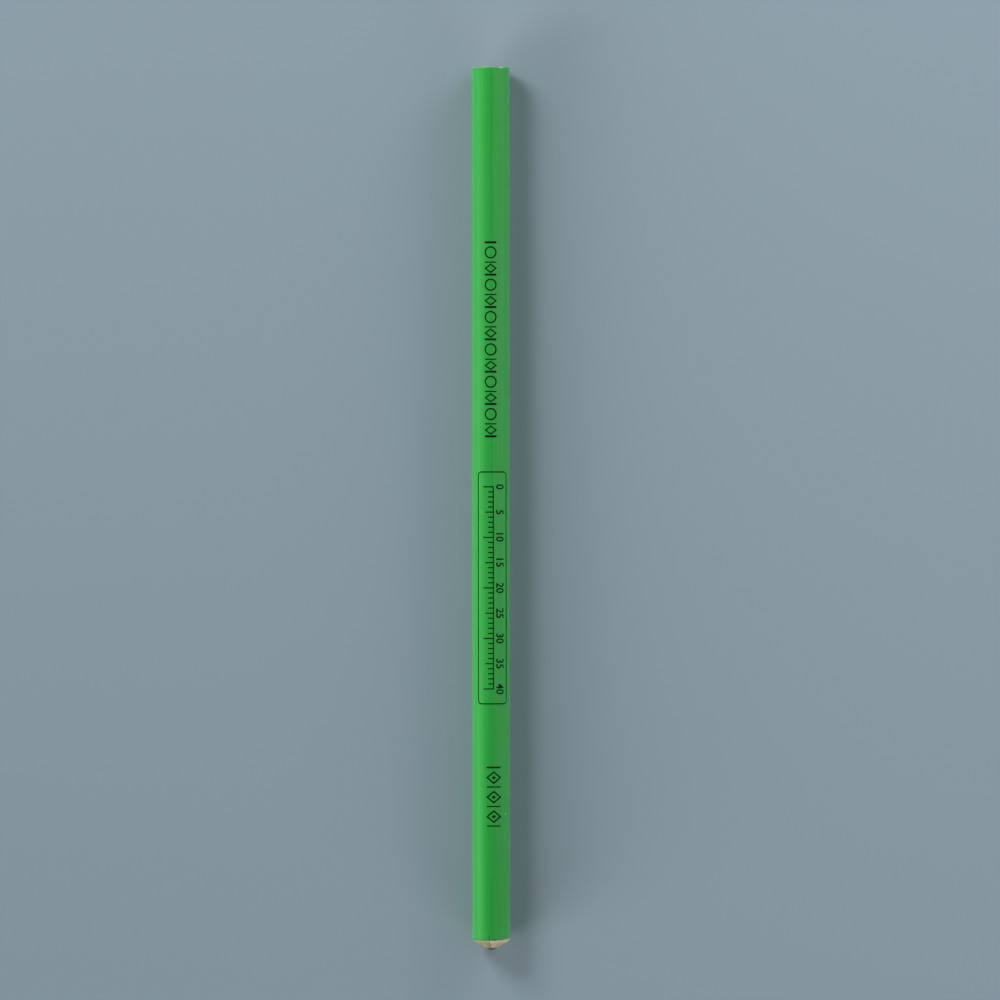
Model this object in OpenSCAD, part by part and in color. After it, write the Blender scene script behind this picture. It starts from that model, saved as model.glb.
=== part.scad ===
// Round wooden pencil, lying along Y on the plane z = 0.
// The flat tail is at +Y, the bare cone with the core's tip is at -Y.
// A pencil is a stack of layers on one axis that are cut together: every layer here is a tube, or
// half of one, and one turned blank gives all of them the same flat tail, rim and cone.

/* [Blank] */
// Length from the flat tail to the blunt tip
overall_length = 175; // [90:1:200]
// Diameter over the lacquer
barrel_d = 7.5; // [6.6:0.1:9.5]
// Width of the broken edge at the tail, measured along the face
tail_chamfer = 0.14; // [0.05:0.01:0.3]

/* [Cone] */
// Full angle of the cone that is cut at the writing end
cone_angle = 120; // [70:1:150]
// Diameter of the small worn flat on the core's tip
tip_flat_d = 0.6; // [0.2:0.1:1.2]

/* [Core] */
// Diameter of the core
core_d = 2.2; // [1.8:0.1:3.4]

/* [Casing] */
// Clearance between the groove and the core, filled by glue
core_clearance = 0.12; // [0.08:0.01:0.2]
// Clearance between the two slats, filled by glue
slat_gap = 0.12; // [0.08:0.01:0.2]

/* [Pose] */
// How far the pencil has rolled to the left from its joint standing upright
roll_angle = 7; // [0:1:180]

/* [Coats] */
// Thickness of the pale filler coat
undercoat_t = 0.1; // [0.08:0.01:0.2]
// Thickness of the colour coat
lacquer_t = 0.1; // [0.08:0.01:0.2]

/* [Hidden] */
$fn = 96;

// Past a cut on each side, so that no cutting face lies on a face that it cuts
over = 1;

// Radii, from the outside in
barrel_r = barrel_d / 2;
undercoat_r = barrel_r - lacquer_t;
wood_r = undercoat_r - undercoat_t;
core_r = core_d / 2;
groove_r = core_r + core_clearance;
tip_r = tip_flat_d / 2;

// The cone takes the whole barrel down to the worn flat
cone_length = (barrel_r - tip_r) / tan(cone_angle / 2);
shoulder = overall_length - cone_length;

// Half-plane and slab sizes, wide enough for any barrel
reach = barrel_d + over;

// Everything is built round its own Z, tail at 0 and joint upright, then laid down, tail to +Y
module lay_down() {
    translate([0, overall_length / 2, barrel_r])
        rotate([90, 0, 0])
            rotate([0, 0, roll_angle])
                children();
}

// The outline that the finishing machines leave: flat tail, broken edge, barrel, cone, worn tip
module blank() {
    rotate_extrude() polygon([
        [0, 0],
        [barrel_r - tail_chamfer, 0],
        [barrel_r, tail_chamfer],
        [barrel_r, shoulder],
        [tip_r, overall_length],
        [0, overall_length]
    ]);
}

// A rod along the whole pencil
module rod(r) {
    translate([0, 0, -over]) cylinder(h = overall_length + 2 * over, r = r);
}

// One side of the joint, half the slat gap away from it: side is -1 for left, 1 for right
module half_space(side) {
    translate([side > 0 ? slat_gap / 2 : -slat_gap / 2 - reach, -reach / 2, -over])
        cube([reach, reach, overall_length + 2 * over]);
}

// The slab between the slats
module seam_slab() {
    translate([-slat_gap / 2, -reach / 2, -over])
        cube([slat_gap, reach, overall_length + 2 * over]);
}

// One grooved slat, turned down to the wood's radius
module slat(side) {
    difference() {
        intersection() {
            blank();
            rod(wood_r);
            half_space(side);
        }
        rod(groove_r);
    }
}

module graphite_core() {
    color("dimgray") lay_down() intersection() {
        blank();
        rod(core_r);
    }
}

module casing_left() {
    color("burlywood") lay_down() slat(-1);
}

module casing_right() {
    color("tan") lay_down() slat(1);
}

// The sleeve round the core and the two strips out to the undercoat are one film
module glue_film() {
    color("khaki") lay_down() difference() {
        intersection() {
            blank();
            union() {
                rod(groove_r);
                intersection() {
                    rod(wood_r);
                    seam_slab();
                }
            }
        }
        rod(core_r);
    }
}

module undercoat() {
    color("ivory") lay_down() difference() {
        intersection() {
            blank();
            rod(undercoat_r);
        }
        rod(wood_r);
    }
}

module lacquer() {
    color("mediumseagreen") lay_down() difference() {
        blank();
        rod(undercoat_r);
    }
}

graphite_core();
casing_left();
casing_right();
glue_film();
undercoat();
lacquer();
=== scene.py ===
import math

import bmesh
import bpy
import numpy as np
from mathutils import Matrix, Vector, noise


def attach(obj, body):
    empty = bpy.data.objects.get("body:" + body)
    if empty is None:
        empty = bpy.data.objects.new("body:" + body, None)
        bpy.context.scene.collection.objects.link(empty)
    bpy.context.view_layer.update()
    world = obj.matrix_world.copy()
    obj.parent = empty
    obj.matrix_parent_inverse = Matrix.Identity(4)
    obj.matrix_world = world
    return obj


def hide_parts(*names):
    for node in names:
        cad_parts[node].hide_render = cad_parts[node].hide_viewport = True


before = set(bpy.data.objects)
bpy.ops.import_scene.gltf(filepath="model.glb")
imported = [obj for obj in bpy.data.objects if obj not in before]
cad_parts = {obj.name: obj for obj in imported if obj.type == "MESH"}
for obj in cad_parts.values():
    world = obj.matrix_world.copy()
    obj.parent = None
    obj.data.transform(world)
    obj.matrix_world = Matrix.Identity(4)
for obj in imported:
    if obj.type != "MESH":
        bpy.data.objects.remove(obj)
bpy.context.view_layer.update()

# ---------------------------------------------------------------- sizes, in millimetres
MM = 0.001
LENGTH = 175.0
BARREL_R = 3.75
TAIL = LENGTH / 2
TIP = -LENGTH / 2
INK_R = 3.745           # the imprint is the outermost film
LACQUER_R = 3.736
UNDER_R = 3.65          # the lacquer's inside
FILLER_R = UNDER_R - 0.001
WOOD_R = 3.55
GROOVE_R = 1.22
CORE_R = 1.1
TIP_R = 0.3             # the worn flat at the end of the core
SLAT_GAP = 0.12
ROLL = math.radians(7)  # the joint leans this far to the left of straight up
CONE_TAN = math.tan(math.radians(60))
END_FROM = 80.0         # past this, either way along Y, a ring belongs to the tail or the cone

AROUND = 288            # segments round the barrel
SLAT_RINGS = 36         # rings from the groove out to the rim on each end of a slat
SLAT_AROUND = 120       # segments round half a ring
SLEEVE_AROUND = 120
CORE_AROUND = 128
STRIP_STEPS = 30        # steps from the sleeve out to the filler
WELD = 2e-7             # in metres: points nearer to each other than this become one


def cone_y(r):
    """Where the cone's surface lies at radius r."""
    return TIP + (r - TIP_R) / CONE_TAN


SHOULDER = cone_y(BARREL_R)


# ---------------------------------------------------------------- noise and steps
def fbm(x, y=0.0, z=0.0, octaves=4):
    """Smooth noise between about -1 and 1, the same in every run."""
    total, amp, norm = 0.0, 1.0, 0.0
    for _ in range(octaves):
        total += amp * noise.noise(Vector((x, y, z)))
        norm += amp
        x, y, z, amp = x * 2.03, y * 2.03, z * 2.03, amp * 0.5
    return total / norm


def round_noise(phi, scale, seed, octaves=4):
    """Noise round the barrel that meets itself after a full turn."""
    return fbm(math.sin(phi) * scale, math.cos(phi) * scale, seed, octaves)


def ramp(a, b, x):
    """A smooth step from 0 at a to 1 at b."""
    t = min(1.0, max(0.0, (x - a) / (b - a)))
    return t * t * (3 - 2 * t)


def span(a, b, c, d, x):
    """Rises from 0 to 1 between a and b and falls back between c and d."""
    return ramp(a, b, x) * (1 - ramp(c, d, x))


def bearing(phi):
    """phi in degrees from -180 to 180: 0 is straight up, 90 is towards +X."""
    return (math.degrees(phi) + 180) % 360 - 180


def on_face(r, phi):
    """Where a point of an end face lies across and up from the axis."""
    return math.sin(phi) * r, math.cos(phi) * r


# ---------------------------------------------------------------- mesh helpers
def at(r, phi, y):
    """A point at radius r, turned phi from straight up towards +X, at y along the pencil."""
    return (r * math.sin(phi) * MM, y * MM, (BARREL_R + r * math.cos(phi)) * MM)


def make(name, verts, faces):
    """A smooth-shaded object from points and faces, welded, with its normals outwards."""
    mesh = bpy.data.meshes.new(name)
    mesh.from_pydata(verts, [], faces)
    mesh.validate()
    bm = bmesh.new()
    bm.from_mesh(mesh)
    bmesh.ops.remove_doubles(bm, verts=bm.verts, dist=WELD)
    bmesh.ops.recalc_face_normals(bm, faces=bm.faces)
    bm.to_mesh(mesh)
    bm.free()
    for p in mesh.polygons:
        p.use_smooth = True
    obj = bpy.data.objects.new(name, mesh)
    bpy.context.scene.collection.objects.link(obj)
    return obj


def soften(obj, degrees):
    """Smooth shading inside each face, crisp where two faces meet at more than the angle."""
    mesh = obj.data
    bm = bmesh.new()
    bm.from_mesh(mesh)
    limit = math.radians(degrees)
    for e in bm.edges:
        e.smooth = len(e.link_faces) == 2 and e.calc_face_angle(0.0) < limit
    bm.to_mesh(mesh)
    bm.free()


def lathe(verts, faces, stations, move, closed=True, around=AROUND):
    """Adds a profile of (radius, y) stations, turned round the pencil's axis.
    move(r, phi, y, k) gives the radius and y of the point of station k at phi."""
    base, n = len(verts), len(stations)
    for k, (r, y) in enumerate(stations):
        for j in range(around):
            phi = 2 * math.pi * j / around
            moved_r, moved_y = move(r, phi, y, k)
            verts.append(at(moved_r, phi, moved_y))
    for k in range(n if closed else n - 1):
        a, b = base + k * around, base + (k + 1) % n * around
        for j in range(around):
            i = (j + 1) % around
            faces.append((a + j, a + i, b + i, b + j))


def turned(name, stations, move, closed=True, around=AROUND):
    """One turned piece."""
    verts, faces = [], []
    lathe(verts, faces, stations, move, closed, around)
    return make(name, verts, faces)


# ---------------------------------------------------------------- the coats' edges
def chip(phi):
    """How far the colour coat stops short of the cone, in mm, round the shoulder."""
    deg = bearing(phi)
    grain = 0.10 + 0.05 * round_noise(phi, 9.0, 3.1) + 0.04 * round_noise(phi, 31.0, 8.4, 2)
    # the blade tore it back in three steps on the right, and once underneath on the left
    torn = 0.16 * ramp(4, 34, deg) + 0.16 * ramp(30, 60, deg) + 0.18 * ramp(54, 70, deg)
    torn *= 1 - ramp(96, 126, deg)
    torn += 0.20 * span(-172, -154, -134, -120, deg)
    nick = 0.12 * max(0.0, round_noise(phi, 16.0, 14.2, 2) - 0.2) / 0.3
    return max(0.01, grain + torn + nick)


def worn(phi):
    """How far the colour is worn back from the rim of the tail, in mm."""
    deg = bearing(phi)
    wear = 0.015 + 0.02 * round_noise(phi, 12.0, 21.0)
    wear += 0.09 * max(0.0, round_noise(phi, 7.0, 30.0, 2) - 0.2)
    # two small chips, one in view and one low on the right
    wear += 0.13 * span(27, 31, 38, 41, deg) + 0.10 * span(140, 146, 150, 158, deg)
    return max(0.0, wear)


# ---------------------------------------------------------------- colour coat
coat_tail = [(UNDER_R, TAIL - 0.06), (UNDER_R + 0.04, TAIL - 0.075),
             (LACQUER_R - 0.016, TAIL - 0.105), (LACQUER_R - 0.004, TAIL - 0.145)]
coat_barrel = [(LACQUER_R, y) for y in (87.1, 86.5, 84.0, 78.0, 66.0, 48.0, 24.0, 0.0, -24.0,
                                        -48.0, -66.0, -78.0, -82.0, -84.0, -84.6, -84.9)]
coat_edge = [(LACQUER_R, SHOULDER + 0.09), (LACQUER_R, SHOULDER + 0.035),
             (LACQUER_R, SHOULDER + 0.006), (LACQUER_R - 0.03, SHOULDER - 0.016),
             (UNDER_R, cone_y(UNDER_R))]
coat_inside = [(UNDER_R, y) for y in (-84.0, 0.0, 87.0)]
COAT_EDGE_FROM = len(coat_tail) + len(coat_barrel)
COAT_EDGE_TO = COAT_EDGE_FROM + len(coat_edge) - 1
INNER_TEAR = 0.82       # the inner edge tears back this share of the outer edge's way


def coat_move(r, phi, y, k):
    if k < len(coat_tail):
        y -= worn(phi)
    elif COAT_EDGE_FROM <= k <= COAT_EDGE_TO:
        y += chip(phi) * (INNER_TEAR if k == COAT_EDGE_TO else 1.0)
    return r, y


lacquer = turned("colour_coat", coat_tail + coat_barrel + coat_edge + coat_inside, coat_move)
soften(lacquer, 40)

# ---------------------------------------------------------------- pale filler under it
fill_tail = [(WOOD_R, TAIL - 0.004), (UNDER_R - 0.05, TAIL - 0.006),
             (UNDER_R - 0.02, TAIL - 0.02), (FILLER_R, TAIL - 0.044)]
fill_barrel = [(FILLER_R, y) for y in (80.0, 0.0, -80.0, -84.8)]
fill_edge = [(FILLER_R, SHOULDER), (UNDER_R - 0.04, SHOULDER - 0.045),
             (WOOD_R, cone_y(WOOD_R) + 0.002)]
fill_inside = [(WOOD_R, y) for y in (-84.8, 0.0, 87.0)]
FILL_EDGE_FROM = len(fill_tail) + len(fill_barrel)
FILL_EDGE_TO = FILL_EDGE_FROM + len(fill_edge) - 1
FILL_TEAR = 0.55        # the filler tears back this share of the colour's way


def fill_move(r, phi, y, k):
    if FILL_EDGE_FROM <= k <= FILL_EDGE_TO:
        y += FILL_TEAR * chip(phi) + 0.02 * round_noise(phi, 22, 5.5)
    return r, max(y, cone_y(r))


under = turned("filler_coat", fill_tail + fill_barrel + fill_edge + fill_inside, fill_move)
soften(under, 50)


# ---------------------------------------------------------------- wooden slats
def cut_relief(r, phi):
    """How far the cutter left the cone's face below the true cone, in mm."""
    s, c = on_face(r, phi)
    ripple = 0.5 + 0.5 * math.sin(r * 26 + 1.5 * fbm(s * 0.8, c * 0.8, 2.0))
    fibre = 0.5 + 0.5 * fbm(s * 5.0, c * 5.0, 7.7)
    torn = max(0.0, fbm(s * 1.7, c * 1.7, 12.0) - 0.1)
    return 0.008 * ripple + 0.012 * fibre + 0.05 * torn


def tail_relief(r, phi):
    """Saw marks and fibre on the flat tail, in mm below the true face."""
    s, c = on_face(r, phi)
    saw = 0.5 + 0.5 * math.sin(c * 11 + s * 3 + fbm(s, c, 1.0))
    fibre = 0.5 + 0.5 * fbm(s * 6.0, c * 6.0, 4.4)
    return 0.008 * saw + 0.014 * fibre


def slat(name, side):
    """Half of the casing: side is -1 for left, 1 for right. Its end faces carry fine relief."""
    radii = [GROOVE_R + (WOOD_R - GROOVE_R) * t for t in np.linspace(0, 1, SLAT_RINGS)]
    middle = [84.0, 60.0, 20.0, -20.0, -60.0, -84.0]
    verts, faces = [], []

    def angle(r, t):
        """From the upper joint face at t = 0 round to the lower one at t = 1."""
        a = math.asin(SLAT_GAP / 2 / r)
        beta = a + (math.pi - 2 * a) * t
        return -ROLL + side * beta

    def ring(r, y_of):
        start = len(verts)
        for j in range(SLAT_AROUND + 1):
            phi = angle(r, j / SLAT_AROUND)
            verts.append(at(r, phi, y_of(phi)))
        return start

    # the tail's face, then the outer wall, then the cone, then back along the groove
    rings = [ring(r, lambda phi: TAIL - tail_relief(r, phi)) for r in radii]
    rings += [ring(WOOD_R, lambda phi: y) for y in middle]
    rings += [ring(r, lambda phi: cone_y(r) + cut_relief(r, phi)) for r in reversed(radii)]
    rings += [ring(GROOVE_R, lambda phi: y) for y in reversed(middle)]
    for k, a in enumerate(rings):
        b = rings[(k + 1) % len(rings)]
        for j in range(SLAT_AROUND):
            faces.append((a + j, a + j + 1, b + j + 1, b + j))
    # the two flat joint faces close the solid
    faces.append(tuple(rings))
    faces.append(tuple(a + SLAT_AROUND for a in reversed(rings)))
    obj = make(name, verts, faces)
    soften(obj, 32)
    return obj


wood_left = slat("slat_left", -1)
wood_right = slat("slat_right", 1)


# ---------------------------------------------------------------- glue between and inside them
def sleeve_move(r, phi, y, k):
    return r, (y + 0.01 * round_noise(phi, 4, r * 3) if abs(y) > END_FROM else y)


def glue_strip(verts, faces, up):
    """One of the two strips, from the sleeve out to the filler, a little shrunk back.
    up is 1 for the upper strip and -1 for the lower one."""
    base = len(verts)
    phi = -ROLL if up > 0 else math.pi - ROLL
    inner = GROOVE_R - 0.02
    for i in range(STRIP_STEPS + 1):
        share = i / STRIP_STEPS
        r = inner + (WOOD_R - inner) * share
        dry = 0.02 + 0.05 * max(0.0, fbm(r * 1.3, up * 3.0, 6.0)) + 0.05 * ramp(0.4, 1.0, share)
        for x in (-SLAT_GAP / 2, SLAT_GAP / 2):
            for y in (TAIL - 0.02 - 0.01 * fbm(r * 3, up), cone_y(r) + dry):
                verts.append(at(r, phi + x / r, y))
    for i in range(STRIP_STEPS):
        a, b = base + i * 4, base + (i + 1) * 4
        faces.extend([(a, b, b + 1, a + 1), (a + 2, a + 3, b + 3, b + 2),
                      (a, a + 2, b + 2, b), (a + 1, b + 1, b + 3, a + 3)])
    a, b = base, base + STRIP_STEPS * 4
    faces.extend([(a, a + 1, a + 3, a + 2), (b, b + 2, b + 3, b + 1)])


sleeve_mid = (CORE_R + GROOVE_R) / 2
sleeve = [(CORE_R, TAIL - 0.03), (sleeve_mid, TAIL - 0.045), (GROOVE_R, TAIL - 0.03),
          (GROOVE_R, 0.0), (GROOVE_R, cone_y(GROOVE_R) + 0.03),
          (sleeve_mid, cone_y(sleeve_mid) + 0.05), (CORE_R, cone_y(CORE_R) + 0.03), (CORE_R, 0.0)]
glue_verts, glue_faces = [], []
lathe(glue_verts, glue_faces, sleeve, sleeve_move, around=SLEEVE_AROUND)
glue_strip(glue_verts, glue_faces, 1)
glue_strip(glue_verts, glue_faces, -1)
glue_line = make("glue_lines", glue_verts, glue_faces)
soften(glue_line, 40)


# ---------------------------------------------------------------- core
def core_move(r, phi, y, k):
    s, c = on_face(r, phi)
    if y < -END_FROM:
        y += 0.012 + 0.02 * fbm(s * 4, c * 4, 2.2) + 0.012 * fbm(s * 11, c * 11, 9.0)
        y = max(y, TIP)
    elif y > END_FROM:
        y -= 0.02 + 0.02 * abs(fbm(s * 3, c * 3, 1.2))
    return r, y


AXIS_R = 0.001          # the rings at the two ends are all but closed
core_tail = [(AXIS_R, TAIL)] + [(CORE_R * t, TAIL) for t in np.linspace(0.12, 0.96, 9)]
core_wall = [(CORE_R - 0.01, TAIL - 0.01), (CORE_R, TAIL - 0.05), (CORE_R, 60), (CORE_R, 0),
             (CORE_R, -60), (CORE_R, -86.8)]
core_cone = [(r, cone_y(r)) for r in np.linspace(CORE_R, TIP_R + 0.04, 12)]
core_flat = [(TIP_R * 0.8, TIP + 0.008), (TIP_R * 0.5, TIP + 0.001), (TIP_R * 0.2, TIP),
             (AXIS_R, TIP)]
core = turned("core_rod", core_tail + core_wall + core_cone + core_flat, core_move,
              closed=False, around=CORE_AROUND)
soften(core, 18)


# ---------------------------------------------------------------- imprint, generic
# It is drawn flat and laid on the barrel, in mm. u is the distance from the tail towards the tip,
# and v is the distance round the barrel from straight up towards +X.
ink_verts, ink_faces = [], []
ROUND_STEP = 0.12       # the longest step round the barrel, so that flat faces follow the curve
LONG_STEP = 2.0         # the longest step along an outline
FIGURE_WEIGHT = 0.018   # the figures are a little bolder
FIGURE_WIDTH = 0.9      # and narrower than the font draws them


def patch(points, faces):
    base = len(ink_verts)
    ink_verts.extend(at(INK_R, v / INK_R, TAIL - u) for u, v in points)
    ink_faces.extend(tuple(base + i for i in f) for f in faces)


def ladder(pairs, closed=False):
    """Faces between two rows of points, given as pairs."""
    n = len(pairs)
    faces = []
    for i in range(n if closed else n - 1):
        a, b = 2 * i, 2 * ((i + 1) % n)
        faces.append((a, a + 1, b + 1, b))
    patch([p for pair in pairs for p in pair], faces)


def bar(u0, u1, v0, v1):
    """A filled rectangle."""
    n = max(1, math.ceil(abs(v1 - v0) / ROUND_STEP))
    rows = [v0 + (v1 - v0) * i / n for i in range(n + 1)]
    ladder([((u0, v), (u1, v)) for v in rows])


def outline(path, width):
    """A line of one width along a closed path of (u, v) points, mitred at its corners."""
    fine = []
    for i, a in enumerate(path):
        b = path[(i + 1) % len(path)]
        length = math.hypot(b[0] - a[0], b[1] - a[1])
        m = max(1, math.ceil(abs(b[1] - a[1]) / ROUND_STEP), math.ceil(length / LONG_STEP))
        for k in range(m):
            fine.append((a[0] + (b[0] - a[0]) * k / m, a[1] + (b[1] - a[1]) * k / m))
    pairs = []
    for i, p in enumerate(fine):
        before, after = fine[i - 1], fine[(i + 1) % len(fine)]
        come = Vector((p[0] - before[0], p[1] - before[1])).normalized()
        go = Vector((after[0] - p[0], after[1] - p[1])).normalized()
        t = (come + go).normalized()
        w = width / 2 * (1 / max(0.5, t.dot(come)))
        pairs.append(((p[0] - t.y * w, p[1] + t.x * w), (p[0] + t.y * w, p[1] - t.x * w)))
    ladder(pairs, closed=True)


def oval(u, v, ru, rv, width, n=48):
    turns = [2 * math.pi * i / n for i in range(n)]
    outline([(u + ru * math.cos(a), v + rv * math.sin(a)) for a in turns], width)


def lozenge(u, v, ru, rv, width):
    outline([(u - ru, v), (u, v + rv), (u + ru, v), (u, v - rv)], width)


def solid_lozenge(u, v, ru, rv, n=10):
    steps = [-1 + 2 * i / n for i in range(n + 1)]
    ladder([((u - ru * (1 - abs(t)), v + rv * t), (u + ru * (1 - abs(t)), v + rv * t))
            for t in steps])


def number(text, u, v, height):
    """Plain figures, read with the tail to the left and their tops towards +X, centred on u."""
    curve = bpy.data.curves.new("figures", "FONT")
    curve.body = text
    curve.size = 1.0
    curve.align_x = "CENTER"
    curve.resolution_u = 5
    curve.offset = FIGURE_WEIGHT
    obj = bpy.data.objects.new("figures", curve)
    bpy.context.scene.collection.objects.link(obj)
    bpy.context.view_layer.update()
    shaped = obj.evaluated_get(bpy.context.evaluated_depsgraph_get())
    mesh = bpy.data.meshes.new_from_object(shaped)
    bpy.data.objects.remove(obj)
    bpy.data.curves.remove(curve)
    xs = [p.co.x for p in mesh.vertices]
    ys = [p.co.y for p in mesh.vertices]
    low, tall = min(ys), max(ys) - min(ys)
    mid = (max(xs) + min(xs)) / 2
    scale = height / tall
    bm = bmesh.new()
    bm.from_mesh(mesh)
    cuts = int(height / ROUND_STEP) + 1
    for i in range(1, cuts):
        geom = list(bm.verts) + list(bm.edges) + list(bm.faces)
        bmesh.ops.bisect_plane(bm, geom=geom, plane_co=(0, low + tall * i / cuts, 0),
                               plane_no=(0, 1, 0))
    bm.verts.ensure_lookup_table()
    points = [(u + (p.co.x - mid) * scale * FIGURE_WIDTH, v + (p.co.y - low) * scale)
              for p in bm.verts]
    patch(points, [tuple(p.index for p in f.verts) for f in bm.faces])
    bm.free()
    bpy.data.meshes.remove(mesh)


# 1. nearest the tail, a running border of bars, rings and lozenges
THIN, FAT = 0.24, 0.42
BORDER_AT, BORDER_UNITS, BORDER_PITCH = 34.55, 6, 6.40
BORDER_LOW, BORDER_HIGH = -1.22, 1.12
middle, half = (BORDER_LOW + BORDER_HIGH) / 2, (BORDER_HIGH - BORDER_LOW) / 2
u = BORDER_AT
for _ in range(BORDER_UNITS):
    bar(u, u + FAT, BORDER_LOW, BORDER_HIGH)
    oval(u + 2.20, middle, 1.08, half - 0.1, 0.28)
    bar(u + 4.02, u + 4.02 + THIN, BORDER_LOW, BORDER_HIGH)
    lozenge(u + 5.37, middle, 0.79, half - 0.1, 0.26)
    u += BORDER_PITCH
bar(u, u + FAT, BORDER_LOW, BORDER_HIGH)

# 2. in the middle, a plain rule in a rounded frame: millimetres on one row, figures on the other
FRAME_U, FRAME_V = (80.2, 126.1), (-2.78, 3.42)
CORNER, CORNER_STEPS = 0.75, 8
path = []
for cu, cv, from_degrees in ((FRAME_U[1] - CORNER, FRAME_V[1] - CORNER, 90),
                             (FRAME_U[1] - CORNER, FRAME_V[0] + CORNER, 0),
                             (FRAME_U[0] + CORNER, FRAME_V[0] + CORNER, -90),
                             (FRAME_U[0] + CORNER, FRAME_V[1] - CORNER, -180)):
    for i in range(CORNER_STEPS + 1):
        a = math.radians(from_degrees - i * 90 / CORNER_STEPS)
        path.append((cu + CORNER * math.cos(a), cv + CORNER * math.sin(a)))
outline(path, THIN)
RULE_AT, RULE_LENGTH, RULE_V = 83.15, 40, 0.35
for mm in range(RULE_LENGTH + 1):
    tick = 1.95 if mm % 10 == 0 else 1.5 if mm % 5 == 0 else 0.95
    bar(RULE_AT + mm - THIN / 2, RULE_AT + mm + THIN / 2, RULE_V - tick, RULE_V)
bar(RULE_AT - THIN / 2, RULE_AT + RULE_LENGTH + THIN / 2, RULE_V, RULE_V + 0.2)
for mm in range(0, RULE_LENGTH + 1, 5):
    number(str(mm), RULE_AT + mm, 0.98, 1.72)

# 3. nearest the tip, three lozenges between bars
SIGNS_AT, SIGNS, SIGN_PITCH = 138.5, 3, 3.86
SIGN_LOW, SIGN_HIGH = -0.92, 1.9
middle, half = (SIGN_LOW + SIGN_HIGH) / 2, (SIGN_HIGH - SIGN_LOW) / 2
u = SIGNS_AT
bar(u, u + 0.36, SIGN_LOW, SIGN_HIGH)
for _ in range(SIGNS):
    lozenge(u + 2.2, middle, 1.10, half - 0.08, 0.29)
    solid_lozenge(u + 2.2, middle, 0.34, half * 0.32)
    bar(u + 3.93, u + 3.93 + THIN, SIGN_LOW, SIGN_HIGH)
    u += SIGN_PITCH
print_faces = make("imprint", ink_verts, ink_faces)


# ---------------------------------------------------------------- node helpers
def material(name):
    """A new material, its node tree and its shader."""
    mat = bpy.data.materials.new(name)
    mat.use_nodes = True
    nt = mat.node_tree
    for n in list(nt.nodes):
        nt.nodes.remove(n)
    out = nt.nodes.new("ShaderNodeOutputMaterial")
    bsdf = nt.nodes.new("ShaderNodeBsdfPrincipled")
    nt.links.new(bsdf.outputs[0], out.inputs[0])
    return mat, nt, bsdf


def node(nt, kind, **values):
    """A node with its inputs, by name, or its settings filled in."""
    n = nt.nodes.new(kind)
    for k, v in values.items():
        if k in n.inputs:
            n.inputs[k].default_value = v
        else:
            setattr(n, k, v)
    return n


def place(nt):
    """Object coordinates, in metres."""
    return nt.nodes.new("ShaderNodeTexCoord").outputs["Object"]


def split(nt, vector):
    """The x, y and z of a vector."""
    n = nt.nodes.new("ShaderNodeSeparateXYZ")
    nt.links.new(vector, n.inputs[0])
    return n.outputs[0], n.outputs[1], n.outputs[2]


def scaled(nt, per_metre):
    """Object coordinates, with so many units to the metre along each axis."""
    n = node(nt, "ShaderNodeMapping", Scale=per_metre)
    nt.links.new(place(nt), n.inputs["Vector"])
    return n.outputs["Vector"]


def noise_at(nt, per_metre, detail=4.0, rough=0.55):
    """Noise from 0 to 1, with so many cells to the metre along each axis."""
    n = node(nt, "ShaderNodeTexNoise", Scale=1.0, Detail=detail, Roughness=rough)
    nt.links.new(scaled(nt, per_metre), n.inputs["Vector"])
    return n.outputs["Fac"]


def remap(nt, value, a, b, lo=0.0, hi=1.0):
    """A smooth step from lo where the value is a to hi where it is b."""
    n = node(nt, "ShaderNodeMapRange", interpolation_type="SMOOTHSTEP",
             **{"From Min": a, "From Max": b, "To Min": lo, "To Max": hi})
    nt.links.new(value, n.inputs["Value"])
    return n.outputs["Result"]


def blend(nt, fac, a, b):
    """Colour a where fac is 0, colour b where it is 1."""
    n = node(nt, "ShaderNodeMix", data_type="RGBA")
    for socket, v in ((n.inputs[6], a), (n.inputs[7], b)):
        if isinstance(v, tuple):
            socket.default_value = (*v, 1.0)
        else:
            nt.links.new(v, socket)
    if isinstance(fac, float):
        n.inputs[0].default_value = fac
    else:
        nt.links.new(fac, n.inputs[0])
    return n.outputs[2]


def maths(nt, op, a, b=None):
    """A value from one or two numbers or sockets."""
    n = node(nt, "ShaderNodeMath", operation=op)
    for i, v in enumerate((a, b)):
        if v is None:
            continue
        if isinstance(v, (int, float)):
            n.inputs[i].default_value = v
        else:
            nt.links.new(v, n.inputs[i])
    return n.outputs[0]


def weighed(nt, a, share_a, b, share_b):
    """a and b, added in these shares."""
    return maths(nt, "ADD", maths(nt, "MULTIPLY", a, share_a), maths(nt, "MULTIPLY", b, share_b))


def bump(nt, height, strength, distance, bsdf):
    n = node(nt, "ShaderNodeBump", Strength=strength, Distance=distance)
    nt.links.new(height, n.inputs["Height"])
    nt.links.new(n.outputs["Normal"], bsdf.inputs["Normal"])


def from_axis(nt):
    """The distance from the pencil's axis and the place along it, in metres."""
    x, y, z = split(nt, place(nt))
    up = maths(nt, "SUBTRACT", z, BARREL_R * MM)
    square = maths(nt, "ADD", maths(nt, "MULTIPLY", x, x), maths(nt, "MULTIPLY", up, up))
    return maths(nt, "SQRT", square), y


def on_cone(nt, y):
    """1 towards the cone, 0 towards the tail."""
    return remap(nt, y, 10 * MM, -10 * MM)


def shaded(colour, *shares):
    """A colour, each channel times its share."""
    return tuple(c * s for c, s in zip(colour, shares))


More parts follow.
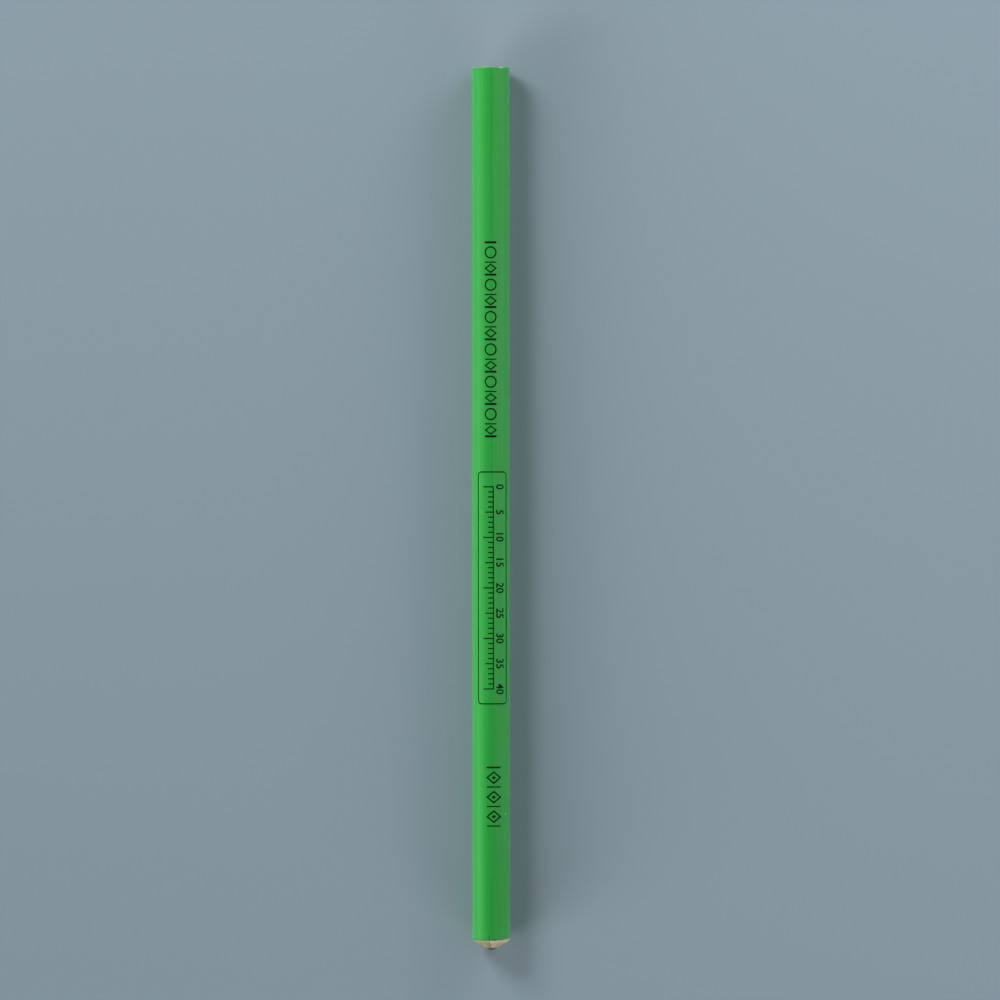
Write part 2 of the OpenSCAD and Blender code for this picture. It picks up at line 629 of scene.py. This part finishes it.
# ---------------------------------------------------------------- materials
def lacquer_material():
    mat, nt, bsdf = material("green_lacquer")
    streak = noise_at(nt, (5200, 55, 5200), detail=3.0)
    fine = noise_at(nt, (9000, 1400, 9000), detail=2.0)
    cloud = noise_at(nt, (90, 28, 90), detail=2.0)
    wave = noise_at(nt, (1100, 60, 1100), detail=2.0)
    green = blend(nt, remap(nt, streak, 0.30, 0.72),
                  (0.0205, 0.345, 0.0440), (0.0260, 0.390, 0.0525))
    green = blend(nt, remap(nt, cloud, 0.3, 0.7, 0.0, 0.5), green, (0.0280, 0.360, 0.0560))
    # a few tiny pale specks of dust under the gloss
    cells = node(nt, "ShaderNodeTexVoronoi", Scale=1.0)
    nt.links.new(scaled(nt, (420, 260, 420)), cells.inputs["Vector"])
    few = remap(nt, noise_at(nt, (260, 160, 260), detail=0.0), 0.60, 0.66)
    speck = maths(nt, "MULTIPLY", remap(nt, cells.outputs["Distance"], 0.075, 0.035), few)
    green = blend(nt, speck, green, (0.16, 0.42, 0.16))
    # the joint between the slats has cracked the colour for a millimetre or so at the cone
    x, y, z = split(nt, place(nt))
    up = maths(nt, "SUBTRACT", z, BARREL_R * MM)
    across = weighed(nt, x, math.cos(ROLL), up, math.sin(ROLL))
    wobble = maths(nt, "SUBTRACT", noise_at(nt, (10, 900, 10), detail=2.0), 0.5)
    wander = maths(nt, "MULTIPLY", wobble, 0.12 * MM)
    off = maths(nt, "ABSOLUTE", maths(nt, "ADD", across, wander))
    crack = maths(nt, "MULTIPLY", remap(nt, off, 0.075 * MM, 0.03 * MM),
                  remap(nt, y, -84.1 * MM, -84.9 * MM))
    green = blend(nt, maths(nt, "MULTIPLY", crack, 0.85), green, (0.008, 0.05, 0.010))
    # and painted shade darkens it in a thin, patchy band along its torn edge: the shadow line of
    # the coat's edge
    painted_edge_shade = maths(nt, "MULTIPLY", remap(nt, y, -85.05 * MM, -85.4 * MM),
                 remap(nt, fine, 0.25, 0.6, 0.35, 0.75))
    green = blend(nt, painted_edge_shade, green, (0.040, 0.150, 0.035))
    nt.links.new(green, bsdf.inputs["Base Color"])
    nt.links.new(remap(nt, fine, 0.3, 0.7, 0.19, 0.24), bsdf.inputs["Roughness"])
    bsdf.inputs["IOR"].default_value = 1.5
    # a faint haze of dust and fine scratches, seen where the barrel turns away
    bsdf.inputs["Sheen Weight"].default_value = 0.2
    bsdf.inputs["Sheen Roughness"].default_value = 0.43
    bump(nt, weighed(nt, wave, 1.0, fine, 0.12), 0.35, 0.04 * MM, bsdf)
    return mat


def ink_material():
    mat, nt, bsdf = material("dark_ink")
    rubbed = noise_at(nt, (7000, 7000, 7000), detail=3.0)
    patchy = noise_at(nt, (900, 300, 900), detail=2.0)
    ink = blend(nt, remap(nt, rubbed, 0.52, 0.78),
                (0.0010, 0.0090, 0.0020), (0.0040, 0.0550, 0.0080))
    ink = blend(nt, remap(nt, patchy, 0.45, 0.75, 0.0, 0.45), ink, (0.0020, 0.0330, 0.0050))
    nt.links.new(ink, bsdf.inputs["Base Color"])
    nt.links.new(remap(nt, rubbed, 0.3, 0.7, 0.38, 0.52), bsdf.inputs["Roughness"])
    bsdf.inputs["IOR"].default_value = 1.3
    bsdf.inputs["Specular IOR Level"].default_value = 0.15
    bump(nt, rubbed, 0.2, 0.01 * MM, bsdf)
    return mat


def filler_material():
    mat, nt, bsdf = material("pale_filler")
    grain = noise_at(nt, (3000, 3000, 3000))
    tint = noise_at(nt, (700, 700, 700), detail=2.0)
    base = blend(nt, remap(nt, grain, 0.3, 0.7), (0.38, 0.45, 0.31), (0.52, 0.57, 0.44))
    base = blend(nt, remap(nt, tint, 0.42, 0.66, 0.0, 0.7), base, (0.20, 0.37, 0.17))
    nt.links.new(base, bsdf.inputs["Base Color"])
    bsdf.inputs["Roughness"].default_value = 0.7
    bump(nt, grain, 0.4, 0.03 * MM, bsdf)
    return mat


def wood_material(name, turn, pale, mid, dark, rim):
    """Light, close wood: growth rings across the end, fine fibre along the length, small pores."""
    mat, nt, bsdf = material(name)
    log = node(nt, "ShaderNodeMapping", Rotation=(0, turn, 0), Location=(0.011, 0, 0.004))
    nt.links.new(place(nt), log.inputs["Vector"])
    rings = node(nt, "ShaderNodeTexWave", wave_type="BANDS", bands_direction="X", Scale=230.0,
                 Distortion=2.2, Detail=2.0, **{"Detail Scale": 0.6})
    nt.links.new(log.outputs["Vector"], rings.inputs["Vector"])
    ring = rings.outputs["Fac"]
    fibre = noise_at(nt, (3800, 260, 3800), rough=0.6)
    blotch = noise_at(nt, (520, 240, 520), detail=3.0)
    pores = noise_at(nt, (9000, 900, 9000), detail=1.0)
    cloud = noise_at(nt, (1500, 900, 1500), detail=2.0)
    base = blend(nt, remap(nt, blotch, 0.3, 0.7), mid, pale)
    base = blend(nt, remap(nt, ring, 0.62, 0.98, 0.0, 0.3), base, dark)
    base = blend(nt, remap(nt, fibre, 0.52, 0.75, 0.0, 0.5), base, dark)
    base = blend(nt, remap(nt, pores, 0.62, 0.7, 0.0, 0.55), base, shaded(dark, 0.5, 0.5, 0.5))
    # warmer and greener clouds, and a lighter band towards the outer edge of the wood, patchy along
    # the fibre
    warm, green = shaded(pale, 1.05, 0.86, 0.92), shaded(mid, 0.88, 0.98, 0.80)
    base = blend(nt, remap(nt, cloud, 0.5, 0.68, 0.0, 0.35), base, warm)
    base = blend(nt, remap(nt, cloud, 0.46, 0.3, 0.0, 0.4), base, green)
    r, _ = from_axis(nt)
    # torn here only marks the lighter band towards the outer edge
    torn = maths(nt, "MULTIPLY", remap(nt, r, 2.6 * MM, 3.4 * MM),
                 remap(nt, fibre, 0.35, 0.65, 0.15, 0.6))
    base = blend(nt, torn, base, rim)
    nt.links.new(base, bsdf.inputs["Base Color"])
    nt.links.new(remap(nt, fibre, 0.3, 0.7, 0.62, 0.8), bsdf.inputs["Roughness"])
    bump(nt, weighed(nt, fibre, 0.7, ring, 0.3), 0.6, 0.05 * MM, bsdf)
    return mat


def glue_material():
    mat, nt, bsdf = material("dried_glue")
    grain = noise_at(nt, (2600, 2600, 2600))
    r, y = from_axis(nt)
    base = blend(nt, remap(nt, grain, 0.3, 0.7), (0.190, 0.140, 0.085), (0.270, 0.210, 0.130))
    # clean at the tail and round the core, dark with cutter's dirt along the joint on the cone
    dirt = maths(nt, "MULTIPLY", on_cone(nt, y), remap(nt, r, 1.1 * MM, 1.4 * MM, 0.35, 1.0))
    base = blend(nt, dirt, base, (0.020, 0.013, 0.007))
    nt.links.new(base, bsdf.inputs["Base Color"])
    nt.links.new(remap(nt, grain, 0.3, 0.7, 0.4, 0.6), bsdf.inputs["Roughness"])
    bump(nt, grain, 0.4, 0.03 * MM, bsdf)
    return mat


def core_material():
    mat, nt, bsdf = material("graphite")
    grain = noise_at(nt, (6500, 6500, 6500), detail=5.0, rough=0.65)
    rub = noise_at(nt, (1500, 1500, 1500), detail=2.0)
    base = blend(nt, remap(nt, grain, 0.3, 0.72), (0.045, 0.047, 0.050), (0.105, 0.107, 0.112))
    base = blend(nt, remap(nt, rub, 0.5, 0.75, 0.0, 0.5), base, (0.150, 0.152, 0.158))
    # wood dust greys its rim where the cutter crossed from the casing
    r, y = from_axis(nt)
    cut = on_cone(nt, y)
    dust = maths(nt, "MULTIPLY", remap(nt, r, 0.90 * MM, 1.09 * MM, 0.0, 0.6),
                 remap(nt, grain, 0.3, 0.6, 0.3, 1.0))
    base = blend(nt, maths(nt, "MULTIPLY", dust, cut), base, (0.230, 0.205, 0.170))
    # and writing has worn a small flat at its end, coloured a lighter grey: painted sheen standing
    # in for the polished flat's shine
    painted_sheen_flat = maths(nt, "MULTIPLY", remap(nt, r, 0.34 * MM, 0.28 * MM, 0.0, 0.8), cut)
    base = blend(nt, painted_sheen_flat, base, (0.175, 0.178, 0.186))
    nt.links.new(base, bsdf.inputs["Base Color"])
    bsdf.inputs["Metallic"].default_value = 0.15
    nt.links.new(remap(nt, rub, 0.35, 0.7, 0.62, 0.48), bsdf.inputs["Roughness"])
    bump(nt, grain, 0.5, 0.04 * MM, bsdf)
    return mat


def dress(obj, mat, slot, *nodes):
    obj.data.materials.clear()
    obj.data.materials.append(mat)
    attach(obj, "root")
    if nodes:
        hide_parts(*nodes)


# the right slat is paler than the left one, and much lighter towards its outer edge
LEFT_WOOD = {"pale": (0.360, 0.318, 0.188), "mid": (0.280, 0.242, 0.132),
             "dark": (0.195, 0.152, 0.076), "rim": (0.46, 0.41, 0.26)}
RIGHT_WOOD = {"pale": (0.525, 0.443, 0.283), "mid": (0.415, 0.352, 0.208),
              "dark": (0.30, 0.235, 0.125), "rim": (0.90, 0.77, 0.55)}
dress(lacquer, lacquer_material(), "green_lacquer", "lacquer")
dress(under, filler_material(), "filler", "undercoat")
dress(wood_left, wood_material("slat_wood_left", 0.5, **LEFT_WOOD), "casing_wood",
      "casing_left")
dress(wood_right, wood_material("slat_wood_right", -0.35, **RIGHT_WOOD), "casing_wood",
      "casing_right")
dress(glue_line, glue_material(), "glue", "glue_film")
dress(core, core_material(), "graphite", "graphite_core")
dress(print_faces, ink_material(), "green_lacquer")

# ---------------------------------------------------------------- floor
PALE_ROOM = (0.42, 0.50, 0.55, 1.0)     # what shows past the floor
# in metres: half the floor's width, how far to either side its painted light changes its colour,
# and where it fades
FLOOR_HALF = 3.0
SHADE_HALF = 0.16
FADE_FROM, FADE_TO = 0.24, 0.62
# its colour at the left and at the right: the paler right is painted light
FLOOR_LEFT, FLOOR_RIGHT = (0.268, 0.346, 0.400), (0.317, 0.409, 0.473)


def mixed(nt, fac, a, b, output):
    """Shader a where fac is 0, shader b where it is 1, to the output."""
    n = nt.nodes.new("ShaderNodeMixShader")
    nt.links.new(fac, n.inputs[0])
    nt.links.new(a.outputs[0], n.inputs[1])
    nt.links.new(b.outputs[0], n.inputs[2])
    nt.links.new(n.outputs[0], nt.nodes[output].inputs[0])


def mirror_ray(nt, rays):
    """1 for the rays that glossy and clear surfaces send out."""
    return maths(nt, "MAXIMUM", rays.outputs["Is Glossy Ray"], rays.outputs["Is Transmission Ray"])


corners = [(-FLOOR_HALF, -FLOOR_HALF, 0), (FLOOR_HALF, -FLOOR_HALF, 0),
           (FLOOR_HALF, FLOOR_HALF, 0), (-FLOOR_HALF, FLOOR_HALF, 0)]
floor_mesh = bpy.data.meshes.new("floor")
floor_mesh.from_pydata(corners, [], [(0, 1, 2, 3)])
floor = bpy.data.objects.new("floor", floor_mesh)
bpy.context.scene.collection.objects.link(floor)
mat, nt, bsdf = material("floor")
# one grey blue, a shade paler towards +X: painted light, as if more light fell on that side
x, _, _ = split(nt, place(nt))
painted_light_gradient = blend(nt, remap(nt, x, -SHADE_HALF, SHADE_HALF), FLOOR_LEFT, FLOOR_RIGHT)
nt.links.new(painted_light_gradient, bsdf.inputs["Base Color"])
bsdf.inputs["Roughness"].default_value = 0.9
bsdf.inputs["Specular IOR Level"].default_value = 0.1
# far out, past the lights' reach, it fades into the pale background
rays = nt.nodes.new("ShaderNodeLightPath")
seen = maths(nt, "MAXIMUM", rays.outputs["Is Camera Ray"], mirror_ray(nt, rays))
reach = node(nt, "ShaderNodeVectorMath", operation="LENGTH")
nt.links.new(place(nt), reach.inputs[0])
far_out = remap(nt, reach.outputs["Value"], FADE_FROM, FADE_TO)
haze = node(nt, "ShaderNodeEmission", Color=PALE_ROOM)
mixed(nt, maths(nt, "MULTIPLY", seen, far_out), bsdf, haze, "Material Output")
floor.data.materials.append(mat)

# ---------------------------------------------------------------- light
MIDDLE = Vector((0.0, 0.0, BARREL_R * MM))


def panel(name, azimuth, elevation, half_wide, half_high, radiance, shift=0.0, far=1.2):
    """A soft rectangular light that faces the pencil from far metres away. Azimuth 0 is +X, 90 is
    +Y, the half widths are angles as seen from the pencil, and shift slides it along Y."""
    data = bpy.data.lights.new(name, "AREA")
    data.shape = "RECTANGLE"
    data.size = 2 * far * math.tan(math.radians(half_wide))
    data.size_y = 2 * far * math.tan(math.radians(half_high))
    data.energy = radiance * math.pi * data.size * data.size_y
    obj = bpy.data.objects.new(name, data)
    a, e = math.radians(azimuth), math.radians(elevation)
    way = Vector((math.cos(e) * math.cos(a), math.cos(e) * math.sin(a), math.sin(e)))
    obj.location = MIDDLE + way * far + Vector((0, shift, 0))
    obj.rotation_euler = way.to_track_quat("Z", "Y").to_euler()
    bpy.context.scene.collection.objects.link(obj)


# the key stands on the far left. What shows in the gloss is a low wall of light on the left,
# weaker upwards, and a wide screen on the right that ends short of the zenith. The rest only fills.
panel("key", 132, 32.5, 11, 11, 12.9, far=0.9)
panel("left_low", 180, 8, 24, 9, 0.85)
panel("left_middle", 180, 28, 24, 12, 0.53)
panel("left_high", 180, 46, 24, 7, 0.25)
panel("left_top", 180, 66, 16, 13, 0.18, shift=0.36)
panel("near_left", 213, 11.5, 16, 11, 11.6, far=1.7)
panel("screen_far", 0, 38, 20.6, 38, 0.69, shift=0.45)
panel("screen_near", 0, 38, 20.6, 38, 0.36, shift=-0.45)
panel("far_right", 50, 14, 16, 12, 5.1, far=0.62)
panel("near_right", -50, 11, 16, 10.5, 4.9)

# the room is dark overhead, as the gloss along the top of the barrel shows, and pale behind the
# floor: all round for the camera, and near the horizon for what the gloss mirrors
DARK_ROOM, DARK_STRENGTH = (0.9, 0.95, 1.0, 1.0), 0.02
HORIZON_TOP, HORIZON_FULL = 0.14, 0.06  # sines of the elevation where the pale part ends
world = bpy.data.worlds.new("room")
world.use_nodes = True
bpy.context.scene.world = world
nt = world.node_tree
room = nt.nodes["Background"]
room.inputs["Color"].default_value = DARK_ROOM
room.inputs["Strength"].default_value = DARK_STRENGTH
pale = node(nt, "ShaderNodeBackground", Color=PALE_ROOM, Strength=1.0)
rays = nt.nodes.new("ShaderNodeLightPath")
_, _, height = split(nt, nt.nodes.new("ShaderNodeTexCoord").outputs["Generated"])
low = remap(nt, height, HORIZON_TOP, HORIZON_FULL)
mirrored = maths(nt, "MULTIPLY", mirror_ray(nt, rays), low)
seen = maths(nt, "MAXIMUM", rays.outputs["Is Camera Ray"], mirrored)
mixed(nt, seen, room, pale, "World Output")

# ---------------------------------------------------------------- camera
# straight overhead through a long lens: the frame is 198.3 mm wide at the height of the axis
FRAME_PX = 1000
PX = 1 / 5.043 * MM     # what one pixel spans there
OFF_X, OFF_Y = 8.92, 8.80               # the frame's centre, in pixels from the pencil's middle
TURN = math.radians(-0.058)             # the pencil is this far from upright in the frame
DISTANCE = 1.8          # metres above the axis
SENSOR = 36.0           # the sensor's width in mm
camera_data = bpy.data.cameras.new("camera")
camera_data.sensor_width = SENSOR
camera_data.lens = SENSOR * DISTANCE / (FRAME_PX * PX)
camera = bpy.data.objects.new("camera", camera_data)
camera.location = (OFF_X * PX, OFF_Y * PX, BARREL_R * MM + DISTANCE)
camera.rotation_euler = (0.0, 0.0, TURN)
bpy.context.scene.collection.objects.link(camera)
bpy.context.scene.camera = camera

bpy.context.scene.view_settings.view_transform = "Standard"
